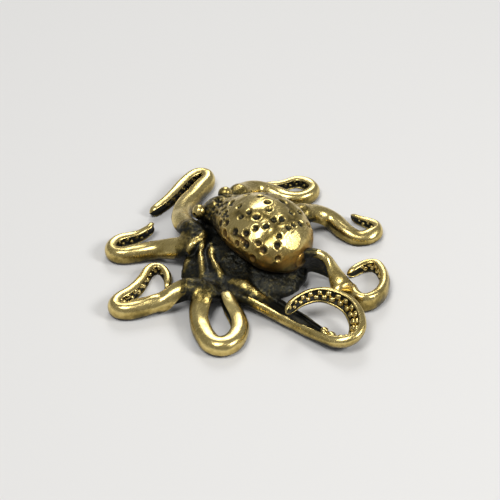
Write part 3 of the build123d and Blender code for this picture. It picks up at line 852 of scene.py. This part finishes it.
def webFolds(co, n):
    # the folds stand up from the skin, and their crests are rubbed bright
    raised, bright = np.zeros(len(co)), np.zeros(len(co))
    upright = ease(n[:, 2], *foldStyle["upright"])
    for fold in folds:
        crest = smoothLine([(*onWeb(x, y), high, wide) for x, y, high, wide in fold],
                           foldStyle["points"])
        apart = np.linalg.norm(co[:, None, :2] - crest[None, :, :2], axis=2)
        high, wide = crest[apart.argmin(1), 2:].T
        profile = np.exp(-(apart.min(1) / (wide * foldStyle["wide"])) ** 2) * upright
        raised = np.maximum(raised, high * profile)
        shine = foldStyle["bright"] * ease(profile, *foldStyle["brightFade"])
        bright = np.maximum(bright, shine * np.minimum(high / foldStyle["full"], 1))
    return raised, bright


def makeWeb():
    rim = webRim()
    fused = fuseWeb(rim)
    co, n = places(fused), normals(fused)
    flat = ease(-n[:, 2], *webStyle["facingDown"]) * (co[:, 2] < webStyle["under"])
    co[:, 2] += webHollow(co, flat, rim)
    lumps = castLumps(co, webStyle["uneven"], webStyle["seed"])
    dark, onArm = webShoulders(co)
    raised, bright = webFolds(co, n)
    co += n * (raised + lumps * (1 - flat) * (1 - onArm))[:, None]
    co[:, 2] = np.maximum(co[:, 2], webStyle["lowest"])
    setPlaces(fused, co)
    setLayer(fused, "patina", np.clip(dark - bright, 0, 1))


makeWeb()
print("web made,", len(pieces["webBrass"].data.vertices), "points")


# wear and painted shade: raised places are rubbed bright and hollow ones keep their patina; closed
# places, also by the table, and sides facing down get painted shade, so open places come out
# brighter
wearShadeStyle = {
    "rays": 14, "seed": 3, "far": 5, "start": 0.08, "outward": 1.05, "quickOpen": 0.8,
    # shade: painted shade in closed places; under: painted shade on sides and undersides facing
    # down
    "shade": 0.85, "shadeFade": (0.16, 0.75), "under": 0.55, "underFade": (-0.1, 0.82),
    "edge": 0.4, "hollow": 0.9, "wide": 10, "wideFade": (0.03, 0.16), "full": 0.93,
    "crease": 0.5, "fine": 2, "fineFade": (0.008, 0.03),
    "body": 0.5, "beads": 0.3, "webEdge": 0.25, "bodyDarkest": 0.82,
}


def smoothOver(mesh, values, times):
    # each point's value moves halfway to the mean of its neighbours
    edges = np.zeros(len(mesh.edges) * 2, np.int32)
    mesh.edges.foreach_get("vertices", edges)
    a, b = edges.reshape(-1, 2).T
    degree = np.bincount(a, minlength=len(values)) + np.bincount(b, minlength=len(values))
    for _ in range(times):
        total = np.bincount(a, values[b], len(values)) + np.bincount(b, values[a], len(values))
        values = 0.5 * values + 0.5 * total / np.maximum(degree, 1)
    return values


def curvature(mesh, times):
    # positive on raised places, negative in hollows, over a reach set by the smoothing
    co, n = places(mesh), normals(mesh)
    soft = np.column_stack([smoothOver(mesh, co[:, i], times) for i in range(3)])
    return ((co - soft) * n).sum(1)


def openness(tree, mesh):
    # share of rays that leave a point without meeting metal or table close by
    rnd = random.Random(wearShadeStyle["seed"])
    sphere = []
    while len(sphere) < wearShadeStyle["rays"]:
        v = Vector([rnd.uniform(-1, 1) for _ in range(3)])
        if 0.1 < v.length < 1:
            sphere.append(v.normalized())
    far = wearShadeStyle["far"] * mm
    out = []
    for place, normal in zip(places(mesh), normals(mesh)):
        normal = Vector(normal)
        start = Vector(place) * mm + normal * wearShadeStyle["start"] * mm
        free = 0
        for v in sphere:
            hit = tree.ray_cast(start, (v + normal * wearShadeStyle["outward"]).normalized(), far)
            free += 1 if hit[0] is None else hit[3] / far
        out.append(free / len(sphere))
    return np.array(out)


def surroundings():
    # all pieces and the table as one thing that rays can meet
    verts, faces = [], []
    for piece in pieces.values():
        base = len(verts)
        verts += [v.co.copy() for v in piece.data.vertices]
        faces += [tuple(base + i for i in f.vertices) for f in piece.data.polygons]
    # the table is one of them, so points close to it get painted shade
    faces.append(tuple(range(len(verts), len(verts) + 4)))
    verts += map(Vector, square)
    return BVHTree.FromPolygons(verts, faces)


def wearAndShadePiece(name, mesh, tree):
    s = wearShadeStyle
    body, web = name in ("mantleBrass", "headBrass"), name == "webBrass"
    shadow = s["beads"] if name.startswith("suckers") else s["body"] if body else 1
    own = getLayer(mesh, "patina")
    free = smoothOver(mesh, openness(tree, mesh), 1)
    wide, fine = curvature(mesh, s["wide"]), curvature(mesh, s["fine"])
    # painted shade where metal or the table closes a point in; in the hollows it stands partly for
    # real patina
    value = own + shadow * s["shade"] * ease(1 - free, *s["shadeFade"])
    # painted shade on sides and undersides that face down, partly standing for real wear that rubs
    # the tops bright
    value += shadow * s["under"] * (1 - ease(normals(mesh)[:, 2], *s["underFade"]))
    edge = s["edge"] * (s["webEdge"] if web else 1)
    value -= edge * ease(wide, *s["wideFade"]) * (own < s["full"])
    value += s["hollow"] * ease(-wide, *s["wideFade"]) + s["crease"] * ease(-fine, *s["fineFade"])
    darkest = s["bodyDarkest"] if body else 1
    setLayer(mesh, "patina", np.clip(smoothOver(mesh, value, 1), 0, darkest))
    if not mesh.attributes.get("warm"):
        setLayer(mesh, "warm", np.zeros(len(own)))


tree = surroundings()
for name, piece in pieces.items():
    wearAndShadePiece(name, piece.data, tree)
print("patina brushed")


# finishes: places and colours of the patina and the painted shade, from rubbed metal to black
brassColors = [
    (0, (0.8, 0.635, 0.255)), (0.22, (0.56, 0.425, 0.145)), (0.42, (0.29, 0.217, 0.066)),
    (0.63, (0.105, 0.085, 0.031)), (0.8, (0.034, 0.031, 0.018)), (1, (0.012, 0.013, 0.011))]
brassStyle = {
    "colors": brassColors, "blotchScale": 260, "blotch": 0.13, "speckScale": 1300, "speck": 0.09,
    # warm: a painted reflection of the wooden table, broken into patches
    "warmScale": 420, "warmRange": (0.35, 0.62), "warmth": 0.5, "warmColor": (0.46, 0.235, 0.05),
    "filmScale": 150, "filmRange": (0.42, 0.75), "film": 0.4, "filmColor": (0.82, 0.76, 0.55),
    "metalFade": (0.55, 1, 1, 0.75), "roughFade": (0.1, 0.9), "rough": (0.22, 0.42),
    "streakScale": 900, "streak": (-0.05, 0.07), "grainFade": (0.2, 0.9, 0.15, 1),
    "grainScale": 1700, "grain": 0.45, "grainHeight": 0.16,   # heights in millimetres
    "scratchScale": 2400, "scratch": 0.35, "scratchHeight": 0.03,
    "usual": (0.3, 0.7),              # where most of a noise lies
}
webFinish = dict(brassStyle, grain=1, blotch=0.1, speck=0.2, rough=(0.22, 0.34))


def newMaterial(name):
    mat = bpy.data.materials.new(name)
    mat.use_nodes = True
    mat.node_tree.nodes.clear()
    out = mat.node_tree.nodes.new("ShaderNodeOutputMaterial")
    shader = mat.node_tree.nodes.new("ShaderNodeBsdfPrincipled")
    mat.node_tree.links.new(shader.outputs[0], out.inputs[0])
    return mat, shader


def brassFinish(name, style):
    mat, shader = newMaterial(name)
    nodes, links = mat.node_tree.nodes, mat.node_tree.links

    def add(kind, values, output=0, **settings):
        # a node with its settings and its inputs, by number or name
        node = nodes.new("ShaderNode" + kind)
        for key, value in settings.items():
            setattr(node, key, value)
        for key, value in values.items():
            socket = node.inputs[key]
            if isinstance(value, (int, float)):
                socket.default_value = value
            elif isinstance(value, tuple):
                socket.default_value = (*value, 1)[:len(socket.default_value)]
            else:
                links.new(value, socket)
        return node.outputs[output]

    def noiseNode(scale, detail, stretch=None, rough=0.55):
        where = coord
        if stretch:
            where = add("Mapping", {"Vector": where, "Scale": stretch, "Rotation": (0.3, 0.5, 0.9)})
        return add("TexNoise", {"Vector": where, "Scale": scale, "Detail": detail,
                                "Roughness": rough}, "Fac")

    def combine(kind, a, b):
        return add("Math", {0: a, 1: b}, operation=kind)

    def spread(value, low, high, outLow=0, outHigh=1):
        return add("MapRange", {"Value": value, "From Min": low, "From Max": high,
                                "To Min": outLow, "To Max": outHigh}, "Result")

    def layer(label):
        return add("Attribute", {}, "Fac", attribute_name=label)

    def mixColor(factor, a, b, kind="MIX"):
        return add("Mix", {0: factor, 6: a, 7: b}, 2, data_type="RGBA", blend_type=kind)

    def bump(height, strength, distance, **normal):
        return add("Bump", {"Height": height, "Strength": strength,
                            "Distance": distance * mm, **normal})

    coord = add("TexCoord", {}, "Object")
    # the brushed patina with its painted shade, with uneven wear about 4 mm across, then pits and
    # grains
    blotch, speck = noiseNode(style["blotchScale"], 4), noiseNode(style["speckScale"], 3)
    blotch = spread(blotch, *style["usual"], -style["blotch"], style["blotch"])
    speck = spread(speck, *style["usual"], -style["speck"], style["speck"])
    patina = combine("ADD", combine("ADD", layer("patina"), blotch), speck)
    ramp = nodes.new("ShaderNodeValToRGB")
    stops = style["colors"]
    while len(ramp.color_ramp.elements) < len(stops):
        ramp.color_ramp.elements.new(0.5)
    for element, (place, color) in zip(ramp.color_ramp.elements, stops):
        element.position = place
        element.color = (*color, 1)
    links.new(patina, ramp.inputs[0])
    # the warm painted reflection of the table on the low flanks, in patches
    warm = spread(noiseNode(style["warmScale"], 3), *style["warmRange"])
    warm = combine("MULTIPLY", combine("MULTIPLY", layer("warm"), warm), style["warmth"])
    color = mixColor(warm, ramp.outputs[0], style["warmColor"])
    # thin cloudy film on the bright metal
    film = spread(noiseNode(style["filmScale"], 5), *style["filmRange"], 0, style["film"])
    links.new(mixColor(film, color, style["filmColor"], "MULTIPLY"), shader.inputs["Base Color"])
    links.new(spread(patina, *style["metalFade"]), shader.inputs["Metallic"])
    streak = noiseNode(style["streakScale"], 2, (1, 9, 1))
    streak = spread(streak, *style["usual"], *style["streak"])
    rough = combine("ADD", spread(patina, *style["roughFade"], *style["rough"]), streak)
    links.new(rough, shader.inputs["Roughness"])
    # bump: grain that is strongest in the patina and painted shade, then hair scratches
    grain = noiseNode(style["grainScale"], 4, rough=0.6)
    grain = combine("MULTIPLY", grain, spread(patina, *style["grainFade"]))
    scratches = noiseNode(style["scratchScale"], 2, (1, 26, 1))
    normal = bump(grain, style["grain"], style["grainHeight"])
    normal = bump(scratches, style["scratch"], style["scratchHeight"], Normal=normal)
    links.new(normal, shader.inputs["Normal"])
    shader.inputs["IOR"].default_value = 1.5
    return mat


finishes = {
    "polished_brass": brassFinish("polishedBrass", brassStyle),
    "dark_brass": brassFinish("darkBrass", webFinish),
}
for name, piece in pieces.items():
    slotName = "dark_brass" if name in ("webBrass", "headBrass") else "polished_brass"
    piece.data.materials.clear()
    piece.data.materials.append(finishes[slotName])
print("finishes set")


# floor, light and camera, in metres
room = {"floorColor": (0.74, 0.73, 0.71), "floorRough": 0.75, "floorReach": 3,
        "worldColor": (0.93, 0.94, 0.96), "worldLight": 0.27}
# place, target, size, power
lamps = {
    "rearSoft": ((0.36, 0.32, 0.4), (0, 0, 0), 0.22, 1.05),
    "overhead": ((-0.23, -0.02, 0.54), (0, 0, 0), 0.22, 1.55),
    "rightFill": ((0.16, -0.38, 0.33), (0, 0, 0.005), 0.16, 1.25),
}
cameraSetup = {"place": (-0.22544, -0.20174, 0.2422), "turn": (52, 0, -48), "lens": 129.6,
               "sensor": 36, "nearest": 0.01}


floorMesh = bpy.data.meshes.new("floor")
floorMesh.from_pydata([Vector(p) * room["floorReach"] for p in square], [], [(0, 1, 2, 3)])
floorMat, floorShader = newMaterial("paleFloor")
floorShader.inputs["Base Color"].default_value = (*room["floorColor"], 1)
floorShader.inputs["Roughness"].default_value = room["floorRough"]
floorMesh.materials.append(floorMat)
floor = addObject("floor", floorMesh)

world = bpy.data.worlds.new("softRoom")
world.use_nodes = True
scene.world = world
background = world.node_tree.nodes["Background"]
background.inputs["Color"].default_value = (*room["worldColor"], 1)
background.inputs["Strength"].default_value = room["worldLight"]

for name, (place, target, size, power) in lamps.items():
    light = bpy.data.lights.new(name, "AREA")
    light.shape = "SQUARE"
    light.size = size
    light.energy = power
    lamp = addObject(name, light)
    lamp.location = place
    lamp.rotation_euler = (Vector(target) - Vector(place)).to_track_quat("-Z", "Y").to_euler()

camData = bpy.data.cameras.new("camera")
camData.lens = cameraSetup["lens"]
camData.sensor_width = cameraSetup["sensor"]
camData.clip_start = cameraSetup["nearest"]
camera = addObject("camera", camData)
camera.location = cameraSetup["place"]
camera.rotation_euler = [math.radians(a) for a in cameraSetup["turn"]]
scene.camera = camera
scene.view_settings.view_transform = "Standard"
print("camera and lights set")


# the visual model stays inside the CAD box
margin = 0.005
low, high = np.array(cadBox) / mm
for piece in pieces.values():
    co = places(piece.data)
    outside = (co < low) | (co > high)
    if outside.any():
        setPlaces(piece.data, np.where(outside, np.clip(co, low + margin, high - margin), co))
